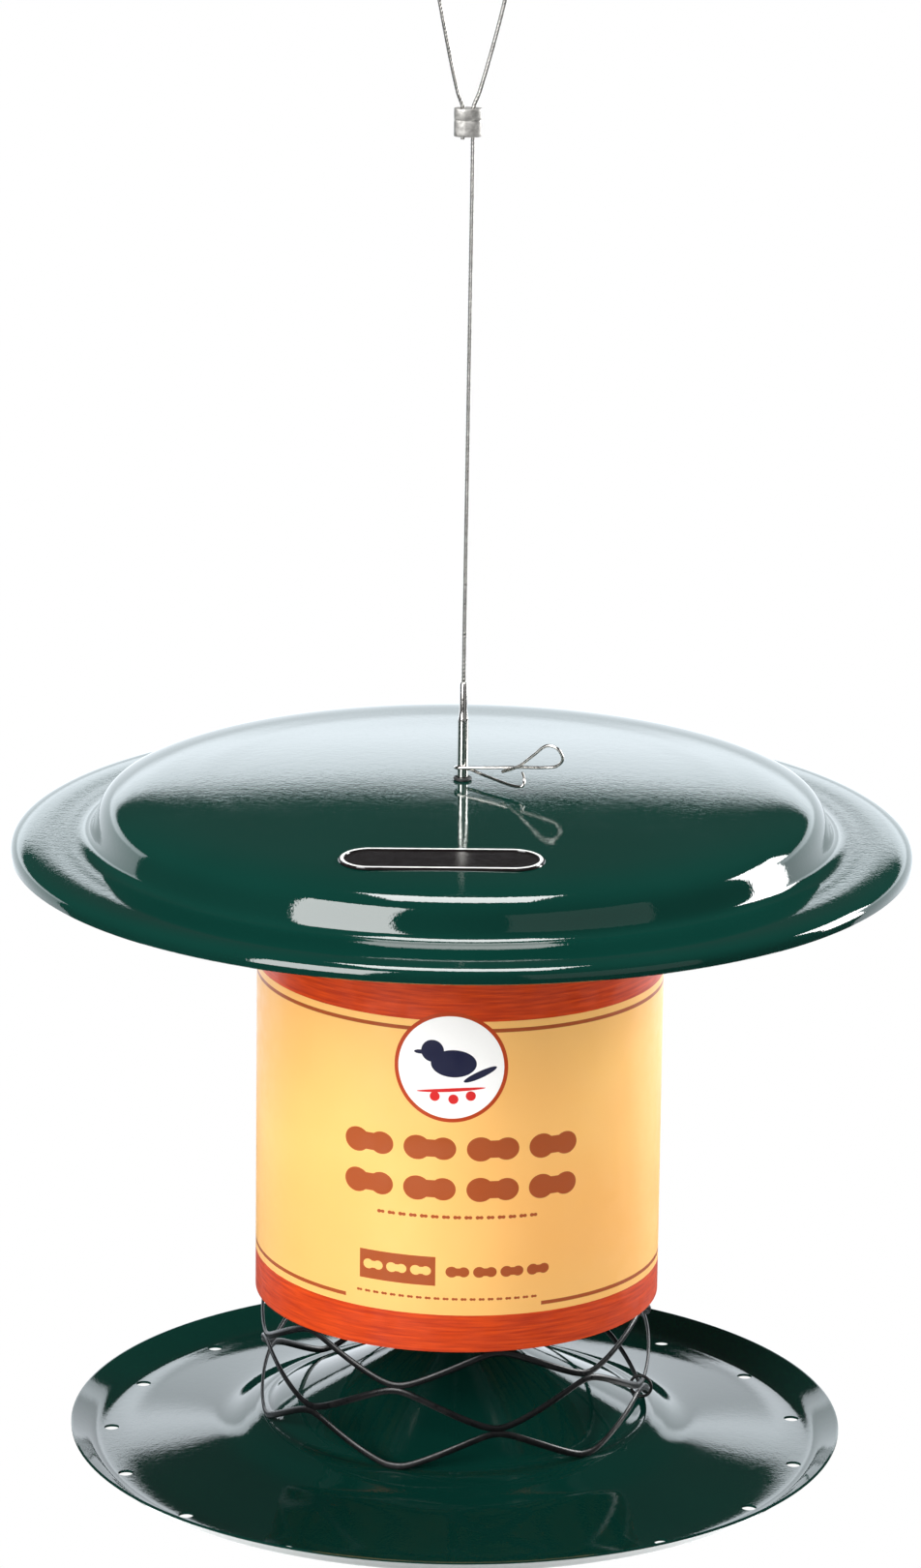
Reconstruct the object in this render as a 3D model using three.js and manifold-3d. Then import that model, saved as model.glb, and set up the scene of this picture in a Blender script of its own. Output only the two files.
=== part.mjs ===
// Hanging mesh bird feeder: a spun metal roof over a lattice cylinder that stands on a spun
// metal tray, all carried by one rod and a steel cable with a crimped loop.
// Millimetres, +Z up. The origin is where the cable's loop bears on the hook that carries it.
import * as THREE from "three";
import { mergeVertices } from "three/addons/utils/BufferGeometryUtils.js";
import Module from "manifold-3d";

const wasm = await Module();
wasm.setup();

// ---------- driving sizes ----------
const roofRadius = 171.5; // to the outside of the roof's turned-down lip
const trayRadius = 149.0; // to the inside of the tray's rim
const meshRadius = 76.9; // outside of the lattice cylinder
const sheet = 1.0; // thickness of the spun roof and tray
const gap = 0.3; // between pieces that touch
const slideGap = 0.35; // round the rod in whatever slides on it

const cableRadius = 0.8;
const loopHeight = 86.0; // from the bearing point down to the ferrule
const loopHalfWidth = 15.0;
const ferruleHeight = 10.5;
const ferruleShift = -1.0; // the standing part hangs in one barrel, so the sleeve sits off axis
const barrelOffset = 1.9; // from the sleeve's middle to each of its two barrels
const cableRun = 209.2; // from the ferrule down to the rod
const tailLength = 5.0;

const rodRadius = 2.05;
const rodAboveRoof = 38.2;
const socketDepth = 12.5; // the cable's end is swaged into the rod's top
const neckRadius = 1.5;

const nutAcrossFlats = 7.0;
const nutHeight = 3.2;
const washerRadius = 5.8;
const washerHeight = 1.0;
const threadBelow = 3.0; // of rod showing under the lower nut
const grommetFlange = 1.8; // the rubber's lower lip, out from the roof's hole
const grommetLip = 0.9; // its thickness above and below the roof

const crownRadius = 138.2; // where the roof's crown turns down into its wall
const wallFoot = 142.0;
const crownFlat = 105.0; // the nearly flat middle of the crown ends here
const roofDepth = 28.2; // from the apex to the bottom of the lip
const lipHeight = 6.4;

const halfPitch = 16.4; // between neighbouring rows of the lattice
const latticeRows = 15; // half rows, from the bottom edge to the top edge
const latticeColumns = 6;
const strandHeight = 3.0; // a strand's height on the cylinder; two of them make a bond
const bondLength = 16.0;
const latticeThickness = 1.2;
const latticeSides = 18; // flats round the rolled cylinder
const tieClearance = 0.12; // between a seam tie and the bond it closes
const latticePhase = 12.5; // degrees, of the lowest full row of bonds

const magnetRadius = 4.5;
const magnetHeight = 3.0;
const magnetCount = 3;

const shelfHeight = 7.4; // the ledge round the tray's hub, above the floor at its foot
const ledgeRun = 14.0; // how far out the ledge's soft edge runs as it falls to the floor
const floorFall = 5.4; // from the foot of that ledge out to the level ring of drain holes
const hubRise = 32.0; // from that ledge up to the pad at the hub's top
const padRadius = 8.0; // the flat at the hub's top that the rod's nuts clamp
const rimHeight = 7.1; // the tray's rim, above the floor
const drainCount = 17;
const drainInset = 15.0; // from the tray's rim in to the circle of drain holes
const drainRadius = 2.9;
const drainPhase = 14.5; // degrees from the front to the first hole

const labelHeight = 145.2;
const labelBottom = 49.8; // from the lattice's bottom edge up to the label
const paper = 0.35;

const badgeLength = 76.0;
const badgeWidth = 24.0;
const badgeAt = new THREE.Vector2(-7.3, -101.5);
const badgeThickness = 0.4;

const clipWire = 0.6; // radius
const clipHeight = 5.4; // of the clip's coil above the apex

// ---------- heights worked out from them ----------
const ferruleTop = -loopHeight;
const ferruleBottom = ferruleTop - ferruleHeight;
const rodTop = ferruleBottom - cableRun;
const apex = rodTop - rodAboveRoof;
const roofMagnetAt = meshRadius - latticeThickness / 2;
const crownUnderMagnet = apex + crownDrop(roofMagnetAt + magnetRadius) - sheet;
const latticeTop = crownUnderMagnet - magnetHeight - 3 * gap;
const latticeBottom = latticeTop - latticeRows * halfPitch;
const shelf = latticeBottom - gap;
const drainCircle = trayRadius - drainInset;
const ledgeFoot = shelf - shelfHeight;
const floor = ledgeFoot - floorFall;
const pad = shelf + hubRise;
const rodBottom = pad - sheet - washerHeight - nutHeight - 3 * gap - threadBelow;

const group = new THREE.Group();
const enamel = { color: 0x0d4736, metalness: 0.1, roughness: 0.16 };
const steel = { color: 0xb9bcbd, metalness: 0.9, roughness: 0.3 };
const black = { color: 0x17181a, metalness: 0.2, roughness: 0.45 };
const alloy = { color: 0xa9adb1, metalness: 0.8, roughness: 0.4 };
const paperFinish = { color: 0xf0a040, metalness: 0, roughness: 0.6 };

// ---------- helpers ----------
function addPiece(name, geometry, finish) {
  const mesh = new THREE.Mesh(geometry, new THREE.MeshStandardMaterial(finish));
  mesh.name = name;
  group.add(mesh);
}

function toSolid(geometry) {
  const loose = geometry.index ? geometry.toNonIndexed() : geometry;
  const bare = new THREE.BufferGeometry();
  bare.setAttribute("position", loose.getAttribute("position"));
  const merged = mergeVertices(bare, 1e-4);
  return new wasm.Manifold(
    new wasm.Mesh({
      numProp: 3,
      vertProperties: merged.attributes.position.array,
      triVerts: new Uint32Array(merged.index.array),
    }),
  );
}

function toGeometry(solid) {
  const mesh = solid.getMesh();
  const geometry = new THREE.BufferGeometry();
  const flat = new Float32Array(mesh.numVert * 3);
  for (let i = 0; i < mesh.numVert; i++) {
    const at = i * mesh.numProp;
    flat.set(mesh.vertProperties.subarray(at, at + 3), i * 3);
  }
  geometry.setAttribute("position", new THREE.BufferAttribute(flat, 3));
  geometry.setIndex(new THREE.BufferAttribute(mesh.triVerts, 1));
  geometry.computeVertexNormals();
  return geometry;
}

// A closed outline of [radius, height] points turned about the Z axis.
function turned(outline, segments) {
  let area = 0;
  outline.forEach(([r, z], i) => {
    const [r2, z2] = outline[(i + 1) % outline.length];
    area += r * z2 - r2 * z;
  });
  const ordered = area > 0 ? [...outline] : [...outline].reverse();
  const points = [...ordered, ordered[0]].map(([r, z]) => new THREE.Vector2(r, z));
  return new THREE.LatheGeometry(points, segments).rotateX(Math.PI / 2);
}

// A sheet of even thickness that hangs below a line of [radius, height] points.
function sheetOutline(line, thickness) {
  const below = line.map(([r, z], i) => {
    const [r1, z1] = line[Math.max(i - 1, 0)];
    const [r2, z2] = line[Math.min(i + 1, line.length - 1)];
    const run = Math.hypot(r2 - r1, z2 - z1);
    return [r + ((z2 - z1) / run) * thickness, z - ((r2 - r1) / run) * thickness];
  });
  return [...line, ...below.reverse()];
}

function tube(points, radius, steps, sides) {
  const path = new THREE.CatmullRomCurve3(points, false, "centripetal");
  const ring = new THREE.Shape();
  for (let i = 0; i < sides; i++) {
    const a = (2 * Math.PI * i) / sides;
    const x = radius * Math.cos(a);
    const y = radius * Math.sin(a);
    if (i === 0) ring.moveTo(x, y);
    else ring.lineTo(x, y);
  }
  return new THREE.ExtrudeGeometry(ring, { steps, extrudePath: path, bevelEnabled: false });
}

// A round or six-sided bar on the Z axis, from z up.
function bar(radius, height, sides, x, y, z) {
  const geometry = new THREE.CylinderGeometry(radius, radius, height, sides);
  return geometry.rotateX(Math.PI / 2).translate(x, y, z + height / 2);
}

// ---------- roof ----------
// How far the crown has fallen below its apex at radius r: almost flat, then a round shoulder.
function crownDrop(r) {
  return -2.1 * (r / crownFlat) ** 2.2;
}

function crownLine(boreRadius) {
  const radii = [boreRadius, crownFlat * 0.5, crownFlat * 0.75, crownFlat - gap];
  return radii.map((r) => [r, apex + crownDrop(r)]);
}

function brimLine() {
  const line = [[crownFlat, apex + crownDrop(crownFlat)]];
  const brim = apex - roofDepth + lipHeight;
  line.push([crownRadius - 17, apex - 3.3]);
  line.push([crownRadius - 9, apex - 4.9]);
  line.push([crownRadius - 3.6, apex - 7.5]);
  line.push([crownRadius, apex - 12.0]);
  line.push([wallFoot - 1.9, brim + 4.4]);
  line.push([wallFoot - 0.6, brim + 1.9]);
  line.push([wallFoot + 1.8, brim + 0.7]);
  line.push([roofRadius - 4.5, brim]);
  line.push([roofRadius - 1.4, brim - 1.2]);
  line.push([roofRadius, brim - 3.4]);
  line.push([roofRadius, apex - roofDepth]);
  return line;
}

const grommetBore = rodRadius + slideGap;
const grommetBody = grommetBore + 0.4;
const roofBore = grommetBody + gap;

// The roof is one sheet, held as two solids that meet where the crown stops being flat.
function addRoof() {
  addPiece("roof_crown", turned(sheetOutline(crownLine(roofBore), sheet), 40), enamel);
  addPiece("roof_brim", turned(sheetOutline(brimLine(), sheet), 40), enamel);
}

function addGrommet() {
  const top = apex + crownDrop(0);
  const outline = [
    [grommetBore, top + gap + grommetLip],
    [roofBore + 0.5, top + gap + grommetLip],
    [roofBore + 0.5, top + gap],
    [grommetBody, top + gap],
    [grommetBody, top - sheet - gap],
    [roofBore + grommetFlange, top - sheet - gap],
    [roofBore + grommetFlange, top - sheet - gap - grommetLip],
    [grommetBore, top - sheet - gap - grommetLip],
  ];
  addPiece("roof_grommet", turned(outline, 20), black);
}

// The oblong badge follows the crown: a thin skin over it, trimmed to the badge's outline.
function addBadge() {
  const near = badgeAt.length() - badgeWidth;
  const radii = [near, near + 16, crownFlat, crownRadius - 17, crownRadius - 9];
  const over = (r) => (r <= crownFlat ? crownDrop(r) : r < crownRadius - 10 ? -3.3 : -4.9);
  const top = radii.map((r) => [r, apex + over(r) + gap + badgeThickness]);
  const bottom = radii.map((r) => [r, apex + over(r) + gap]);
  const skin = toSolid(turned([...top, ...bottom.reverse()], 40));
  const end = badgeWidth / 2;
  const half = badgeLength / 2 - end;
  const oblong = new THREE.Shape();
  oblong.absarc(half, 0, end, -Math.PI / 2, Math.PI / 2, false);
  oblong.absarc(-half, 0, end, Math.PI / 2, (3 * Math.PI) / 2, false);
  const cutter = new THREE.ExtrudeGeometry(oblong, {
    depth: 20,
    bevelEnabled: false,
    curveSegments: 8,
  });
  cutter.translate(badgeAt.x, badgeAt.y, apex - 12);
  addPiece("roof_badge", toGeometry(skin.intersect(toSolid(cutter))), black);
}

function addMagnets(prefix, radius, z) {
  for (let i = 0; i < magnetCount; i++) {
    const a = (2 * Math.PI * i) / magnetCount + Math.PI / 6;
    const x = radius * Math.cos(a);
    const y = radius * Math.sin(a);
    addPiece(prefix + (i + 1), bar(magnetRadius, magnetHeight, 16, x, y, z), alloy);
  }
}

// ---------- lattice cylinder ----------
// A window's outline wrapped on the cylinder and driven through its wall.
function latticeWindow(angle, z) {
  const reach = (Math.PI * meshRadius) / latticeColumns;
  const tip = reach - bondLength / 2;
  const flat = bondLength / 2;
  const height = halfPitch - strandHeight;
  const outline = new THREE.Shape();
  outline.moveTo(-tip, 0);
  outline.lineTo(-flat, -height);
  outline.lineTo(flat, -height);
  outline.lineTo(tip, 0);
  outline.lineTo(flat, height);
  outline.lineTo(-flat, height);
  outline.closePath();
  const geometry = new THREE.ExtrudeGeometry(outline, { depth: 1, bevelEnabled: false });
  const at = geometry.getAttribute("position");
  for (let i = 0; i < at.count; i++) {
    const turn = at.getX(i) / meshRadius;
    const r = at.getZ(i) > 0.5 ? meshRadius + 16 : meshRadius - 16;
    at.setXYZ(i, r * Math.sin(turn), -r * Math.cos(turn), at.getY(i));
  }
  return toSolid(geometry.rotateZ(angle).translate(0, 0, z));
}

function addLattice() {
  const inner = meshRadius - latticeThickness;
  const outline = [
    [meshRadius, latticeBottom],
    [meshRadius, latticeTop],
    [inner, latticeTop],
    [inner, latticeBottom],
  ];
  let wall = toSolid(turned(outline, latticeSides));
  const step = (2 * Math.PI) / latticeColumns;
  const phase = THREE.MathUtils.degToRad(latticePhase);
  for (let row = 0; row <= latticeRows; row++) {
    for (let column = 0; column < latticeColumns; column++) {
      const angle = phase + (column + (row % 2) / 2) * step;
      wall = wall.subtract(latticeWindow(angle, latticeBottom + row * halfPitch));
    }
  }
  addPiece("lattice_cylinder", toGeometry(wall), black);
}

// Open wire rings that close the rolled lattice where its two edges meet.
function addSeamTies() {
  const flatDepth = meshRadius * (1 - Math.cos(Math.PI / latticeSides));
  const bondReach = Math.hypot(strandHeight, latticeThickness / 2 + flatDepth);
  const ringRadius = bondReach + clipWire + tieClearance;
  const angle = THREE.MathUtils.degToRad(latticePhase + 60);
  const radius = meshRadius - latticeThickness / 2;
  const rows = [1, latticeRows - 2];
  rows.forEach((row, n) => {
    const points = [];
    for (let i = 0; i <= 12; i++) {
      const a = THREE.MathUtils.degToRad(20 + (320 * i) / 12);
      const r = radius - ringRadius * Math.cos(a);
      const z = latticeBottom + row * halfPitch + ringRadius * Math.sin(a);
      points.push(new THREE.Vector3(r * Math.sin(angle), -r * Math.cos(angle), z));
    }
    addPiece("seam_tie_" + (n + 1), tube(points, clipWire, 14, 6), black);
  });
}

function addLabel() {
  const inner = meshRadius + 2 * gap;
  const bottom = latticeBottom + labelBottom;
  const outline = [
    [inner, bottom],
    [inner + paper, bottom],
    [inner + paper, bottom + labelHeight],
    [inner, bottom + labelHeight],
  ];
  addPiece("label_wrap", turned(outline, 40), paperFinish);
}

// ---------- tray ----------
const rodHole = rodRadius + gap;
const shelfEdge = meshRadius + 2.8;
const trayMagnetAt = shelfEdge - sheet - 2 * gap - magnetRadius;

function trayLine() {
  return [
    [rodHole, pad],
    [padRadius, pad],
    [meshRadius - 6.5, shelf + 2.4],
    [meshRadius - 3.0, shelf],
    [shelfEdge - 1.2, shelf],
    [shelfEdge + 1.6, shelf - 0.9],
    [shelfEdge + ledgeRun - 2.6, ledgeFoot + 0.7],
    [shelfEdge + ledgeRun, ledgeFoot],
    [drainCircle - drainRadius - 2.5, floor],
    [trayRadius - 9.5, floor],
    [trayRadius - 8.0, floor + 0.9],
    [trayRadius, floor + rimHeight],
  ];
}

function addTray() {
  let dish = toSolid(turned(sheetOutline(trayLine(), sheet), 40));
  for (let i = 0; i < drainCount; i++) {
    const a = THREE.MathUtils.degToRad(drainPhase) + (2 * Math.PI * i) / drainCount;
    const x = drainCircle * Math.sin(a);
    const y = -drainCircle * Math.cos(a);
    dish = dish.subtract(toSolid(bar(drainRadius, 6 * sheet, 10, x, y, floor - 3.5 * sheet)));
  }
  addPiece("tray", toGeometry(dish), enamel);
}

// ---------- rod, its fixings and the clip ----------
function addRod() {
  const outline = [
    [0, rodBottom],
    [rodRadius, rodBottom],
    [rodRadius, rodTop - socketDepth - 1.5],
    [neckRadius, rodTop - socketDepth + 1.0],
    [neckRadius, rodTop],
    [cableRadius + slideGap, rodTop],
    [cableRadius + slideGap, rodTop - socketDepth],
    [0, rodTop - socketDepth],
  ];
  addPiece("hanger_rod", turned(outline, 16), steel);
}

function addNut(name, z) {
  const block = toSolid(bar(nutAcrossFlats / Math.sqrt(3), nutHeight, 6, 0, 0, z));
  const hole = toSolid(bar(rodHole, nutHeight + 2, 16, 0, 0, z - 1));
  addPiece(name, toGeometry(block.subtract(hole)), steel);
}

function addWasher(name, z) {
  const outline = [
    [rodHole, z],
    [washerRadius, z],
    [washerRadius, z + washerHeight],
    [rodHole, z + washerHeight],
  ];
  addPiece(name, turned(outline, 20), steel);
}

function addRodFixings() {
  addWasher("washer_upper", pad + gap);
  addNut("nut_upper", pad + 2 * gap + washerHeight);
  addWasher("washer_lower", pad - sheet - gap - washerHeight);
  addNut("nut_lower", pad - sheet - 2 * gap - washerHeight - nutHeight);
}

// A spring wire bent once round the rod: the upper arm ends in a bow that doubles back across
// it, and the lower arm turns up at its end to catch under the upper one.
function addClip() {
  const level = apex + clipHeight;
  const coil = rodRadius + clipWire + 0.2;
  const points = [
    [15.0, -9.6, 0.6],
    [20.9, -13.6, 3.9],
    [26.0, -16.3, 8.6],
    [31.6, -19.0, 13.6],
    [35.6, -20.6, 12.9],
    [37.6, -20.6, 9.0],
    [35.4, -19.2, 5.8],
    [31.0, -17.1, 4.6],
    [21.0, -11.9, 3.1],
    [9.0, -6.4, 1.2],
    [0.6, -coil - 0.3, 0.2],
    [-coil * 0.75, -coil * 0.7, -0.2],
    [-coil, 0, -0.5],
    [-coil * 0.7, coil * 0.7, -0.9],
    [0.3, coil, -1.2],
    [coil, 1.0, -1.5],
    [9.0, -7.0, -1.9],
    [20.6, -19.6, -2.3],
    [22.7, -20.9, -1.6],
    [23.2, -19.6, 0.2],
    [22.6, -14.6, 1.5],
  ].map(([x, y, z]) => new THREE.Vector3(x, y, level + z));
  addPiece("retaining_clip", tube(points, clipWire, 64, 6), steel);
}

// ---------- cable and ferrule ----------
function addCable() {
  const standing = ferruleShift + barrelOffset;
  const dead = ferruleShift - barrelOffset;
  const wide = loopHalfWidth;
  const points = [
    [0, rodTop - socketDepth + 1],
    [0, rodTop + 10],
    [standing * 0.5, ferruleBottom - cableRun / 2],
    [standing, ferruleBottom - 12],
    [standing, ferruleBottom],
    [standing, ferruleTop],
    [standing + 2.2, ferruleTop + 6],
    [wide * 0.8, ferruleTop + 40],
    [wide, ferruleTop + 58],
    [wide * 0.8, ferruleTop + 75],
    [0, cableRadius],
    [-wide * 0.8, ferruleTop + 75],
    [-wide, ferruleTop + 58],
    [-wide * 0.8, ferruleTop + 40],
    [dead - 2.0, ferruleTop + 6],
    [dead, ferruleTop],
    [dead, ferruleBottom],
    [dead, ferruleBottom - tailLength],
  ].map(([x, z]) => new THREE.Vector3(x, 0, z));
  addPiece("hanging_cable", tube(points, cableRadius, 80, 8), steel);
}

function addFerrule() {
  const wall = cableRadius + slideGap + 2.2;
  const sleeve = new THREE.Shape();
  sleeve.absarc(barrelOffset, 0, wall, -Math.PI / 2, Math.PI / 2, false);
  sleeve.absarc(-barrelOffset, 0, wall, Math.PI / 2, (3 * Math.PI) / 2, false);
  const body = new THREE.ExtrudeGeometry(sleeve, {
    depth: ferruleHeight,
    bevelEnabled: false,
    curveSegments: 8,
  });
  body.translate(ferruleShift, 0, ferruleBottom);
  let solid = toSolid(body);
  for (const side of [-1, 1]) {
    const x = ferruleShift + side * barrelOffset;
    const bore = bar(cableRadius + slideGap, ferruleHeight + 2, 12, x, 0, ferruleBottom - 1);
    solid = solid.subtract(toSolid(bore));
    const die = new THREE.CylinderGeometry(3, 3, 20, 12).rotateZ(Math.PI / 2);
    die.translate(ferruleShift, side * (wall + 2.3), ferruleBottom + ferruleHeight / 2);
    solid = solid.subtract(toSolid(die));
  }
  addPiece("crimp_ferrule", toGeometry(solid), alloy);
}

addCable();
addFerrule();
addRod();
addRodFixings();
addTray();
addMagnets("tray_magnet_", trayMagnetAt, shelf - sheet - gap - magnetHeight);
addRoof();
addGrommet();
addBadge();
addMagnets("roof_magnet_", roofMagnetAt, crownUnderMagnet - gap - magnetHeight);
addClip();
addLattice();
addSeamTies();
addLabel();

export default group;
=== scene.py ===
"""Hanging mesh bird feeder: the looks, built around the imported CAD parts. Metres, +Z up."""
import math
import random

import bmesh
import bpy
from mathutils import Matrix, Vector


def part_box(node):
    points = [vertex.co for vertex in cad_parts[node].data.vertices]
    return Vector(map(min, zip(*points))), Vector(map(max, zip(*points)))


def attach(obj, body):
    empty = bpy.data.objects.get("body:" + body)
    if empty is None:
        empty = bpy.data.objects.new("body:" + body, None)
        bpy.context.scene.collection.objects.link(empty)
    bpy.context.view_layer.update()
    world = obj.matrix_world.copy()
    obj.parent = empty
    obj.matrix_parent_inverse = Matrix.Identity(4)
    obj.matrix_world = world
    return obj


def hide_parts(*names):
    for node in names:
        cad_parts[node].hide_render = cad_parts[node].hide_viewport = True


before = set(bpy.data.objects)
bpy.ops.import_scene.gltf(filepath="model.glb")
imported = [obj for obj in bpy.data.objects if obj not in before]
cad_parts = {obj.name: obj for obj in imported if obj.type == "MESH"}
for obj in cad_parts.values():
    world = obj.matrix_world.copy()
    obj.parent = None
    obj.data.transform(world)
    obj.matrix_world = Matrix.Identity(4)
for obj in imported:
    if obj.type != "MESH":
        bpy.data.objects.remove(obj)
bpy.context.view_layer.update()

MM = 0.001

# ---------- sizes that the looks share, from the frame and from the feeder itself ----------
BRIM_LOW, BRIM_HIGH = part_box("roof_brim")
TRAY_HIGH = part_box("tray")[1]
MESH_LOW, MESH_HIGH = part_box("lattice_cylinder")
LABEL_LOW, LABEL_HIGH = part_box("label_wrap")
ROD_LOW, ROD_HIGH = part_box("hanger_rod")
SLEEVE_LOW, SLEEVE_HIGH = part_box("crimp_ferrule")
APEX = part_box("roof_crown")[1].z
ROOF_RADIUS = BRIM_HIGH.x
MESH_RADIUS = MESH_HIGH.x
LABEL_RADIUS = LABEL_HIGH.x
SHEET = 1.0 * MM
PAPER_THICKNESS = 0.35 * MM
ROD_HOLE = 2.35 * MM  # radius, through the tray and the washers
CABLE_RADIUS = 0.8 * MM
CLIP_WIRE = 0.6 * MM
TURN_STEPS = 160


# ---------- camera ----------
def add_camera():
    """A long lens a little above the roof, level with the sides of the feeder to within a degree."""
    aim = Vector((-0.77 * MM, 0, -345.6 * MM))
    distance = 2.6359
    elevation = math.radians(15.75)
    roll = math.radians(0.70)
    camera = bpy.data.objects.new("camera", bpy.data.cameras.new("camera"))
    camera.data.lens = 159.35
    camera.data.sensor_width = 36.0
    camera.data.clip_end = 50.0
    back = Vector((0, -math.cos(elevation), math.sin(elevation)))
    turn = (-back).to_track_quat("-Z", "Y").to_matrix().to_4x4()
    stand = Matrix.Translation(aim + back * distance)
    camera.matrix_world = stand @ turn @ Matrix.Rotation(roll, 4, "Z")
    bpy.context.scene.collection.objects.link(camera)
    bpy.context.scene.camera = camera
    bpy.context.scene.view_settings.view_transform = "Standard"


# ---------- modelling helpers ----------
def link(name, mesh, material):
    piece = bpy.data.objects.new(name, mesh)
    bpy.context.scene.collection.objects.link(piece)
    mesh.materials.append(material)
    return piece


def smooth_by_angle(mesh, degrees):
    mesh.shade_smooth()
    mesh.set_sharp_from_angle(angle=math.radians(degrees))


def finished(name, bm, material, degrees=35):
    """The bmesh as a piece, smooth but for edges sharper than the angle."""
    mesh = bpy.data.meshes.new(name)
    bm.to_mesh(mesh)
    bm.free()
    smooth_by_angle(mesh, degrees)
    return link(name, mesh, material)


def hold(piece, body, slot, *nodes):
    """Ties a piece to its body and hides the CAD nodes that it stands for. The slot, the finish's name, is
    not used.
    """
    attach(piece, body)
    if nodes:
        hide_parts(*nodes)


def smooth_route(points, step):
    """Points about step apart on the smooth curve that runs through the given ones."""
    marks = [Vector(p) for p in points]
    marks = [2 * marks[0] - marks[1], *marks, 2 * marks[-1] - marks[-2]]
    route = []
    for a, b, c, d in zip(marks, marks[1:], marks[2:], marks[3:]):
        t1 = (b - a).length ** 0.5
        t2 = t1 + (c - b).length ** 0.5
        t3 = t2 + (d - c).length ** 0.5
        count = max(1, round((c - b).length / step))
        for i in range(count):
            t = t1 + (t2 - t1) * i / count
            ab = a.lerp(b, t / t1)
            bc = b.lerp(c, (t - t1) / (t2 - t1))
            cd = c.lerp(d, (t - t2) / (t3 - t2))
            early = ab.lerp(bc, t / t2)
            late = bc.lerp(cd, (t - t1) / (t3 - t1))
            route.append(early.lerp(late, (t - t1) / (t2 - t1)))
    route.append(marks[-2])
    return route


def section(name, across, through, sides, lobes=0, lobe_depth=0.0):
    """A closed outline to draw a bar with: an oval, or a ring of lobes for twisted strands."""
    curve = bpy.data.curves.new(name, "CURVE")
    spline = curve.splines.new("POLY")
    spline.points.add(sides - 1)
    for i, point in enumerate(spline.points):
        a = 2 * math.pi * i / sides
        swell = 1 - lobe_depth * abs(math.sin(lobes * a / 2)) ** 3 if lobes else 1
        point.co = (across / 2 * swell * math.cos(a), through / 2 * swell * math.sin(a), 0, 1)
    spline.use_cyclic_u = True
    return bpy.data.objects.new(name, curve)


def drawn_bar(name, routes, outline, material, closed=False, upright=False, turn_per_metre=0.0):
    """A bar of one section along each route. The section may turn as it goes, like a twist."""
    rail = bpy.data.curves.new(name, "CURVE")
    rail.dimensions = "3D"
    rail.twist_mode = "Z_UP" if upright else "MINIMUM"
    rail.bevel_mode = "OBJECT"
    rail.bevel_object = outline
    rail.use_fill_caps = not closed
    for route in routes:
        spline = rail.splines.new("POLY")
        spline.points.add(len(route) - 1)
        run = 0.0
        for i, at in enumerate(route):
            run += (at - route[max(i - 1, 0)]).length
            spline.points[i].co = (*at, 1)
            spline.points[i].tilt = turn_per_metre * run
        spline.use_cyclic_u = closed
    carrier = bpy.data.objects.new(name + "_rail", rail)
    bpy.context.scene.collection.objects.link(carrier)
    depsgraph = bpy.context.evaluated_depsgraph_get()
    mesh = bpy.data.meshes.new_from_object(carrier.evaluated_get(depsgraph))
    bpy.data.objects.remove(carrier)
    bm = bmesh.new()
    bm.from_mesh(mesh)
    bmesh.ops.remove_doubles(bm, verts=bm.verts, dist=1e-6)
    bmesh.ops.recalc_face_normals(bm, faces=bm.faces)
    bm.to_mesh(mesh)
    bm.free()
    mesh.materials.clear()
    smooth_by_angle(mesh, 50)
    return link(name, mesh, material)


def spun(outline, steps=TURN_STEPS, closed=True):
    """An outline of (radius, height) points spun round the Z axis, as a bmesh."""
    bm = bmesh.new()
    verts = [bm.verts.new((r, 0, z)) for r, z in outline]
    edges = [bm.edges.new(pair) for pair in zip(verts, verts[1:])]
    if closed:
        edges.append(bm.edges.new((verts[-1], verts[0])))
    bmesh.ops.spin(
        bm, geom=verts + edges, cent=(0, 0, 0), axis=(0, 0, 1), dvec=(0, 0, 0),
        angle=2 * math.pi, steps=steps, use_merge=True, use_duplicate=False,
    )
    bmesh.ops.remove_doubles(bm, verts=bm.verts, dist=1e-6)
    bmesh.ops.recalc_face_normals(bm, faces=bm.faces)
    return bm


def sheet_outline(line, thickness):
    """The closed outline of a sheet that hangs below a (radius, height) line, its edge rounded."""
    below = []
    for i, (r, z) in enumerate(line):
        r1, z1 = line[max(i - 1, 0)]
        r2, z2 = line[min(i + 1, len(line) - 1)]
        run = math.hypot(r2 - r1, z2 - z1)
        below.append((r + (z2 - z1) / run * thickness, z - (r2 - r1) / run * thickness))
    (r1, z1), (r2, z2) = line[-2], line[-1]
    run = math.hypot(r2 - r1, z2 - z1)
    middle = Vector(line[-1]).lerp(Vector(below[-1]), 0.5)
    nose = middle + Vector((r2 - r1, z2 - z1)) / run * thickness * 0.4
    return [*line, tuple(nose), *reversed(below)]


def smooth_line(points, step):
    """A (radius, height) line through the points, rounded between them."""
    return [(p.x, p.z) for p in smooth_route([(r, 0, z) for r, z in points], step)]


# ---------- material helpers ----------
def new_finish(name):
    material = bpy.data.materials.new(name)
    material.use_nodes = True
    tree = material.node_tree
    return material, tree, tree.nodes["Principled BSDF"]


def add_node(tree, kind, **settings):
    node = tree.nodes.new("ShaderNode" + kind)
    for key, value in settings.items():
        if key in node.inputs:
            node.inputs[key].default_value = value
        else:
            setattr(node, key, value)
    return node


def placed(tree, scale=(1, 1, 1)):
    """Object coordinates, stretched."""
    coordinates = add_node(tree, "TexCoord")
    mapping = add_node(tree, "Mapping", Scale=scale)
    tree.links.new(coordinates.outputs["Object"], mapping.inputs["Vector"])
    return mapping.outputs["Vector"]


def noise(tree, scale, detail=2.0, rough=0.5, stretch=(1, 1, 1)):
    node = add_node(tree, "TexNoise", Scale=scale, Detail=detail, Roughness=rough)
    tree.links.new(placed(tree, stretch), node.inputs["Vector"])
    return node.outputs["Fac"]


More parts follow.
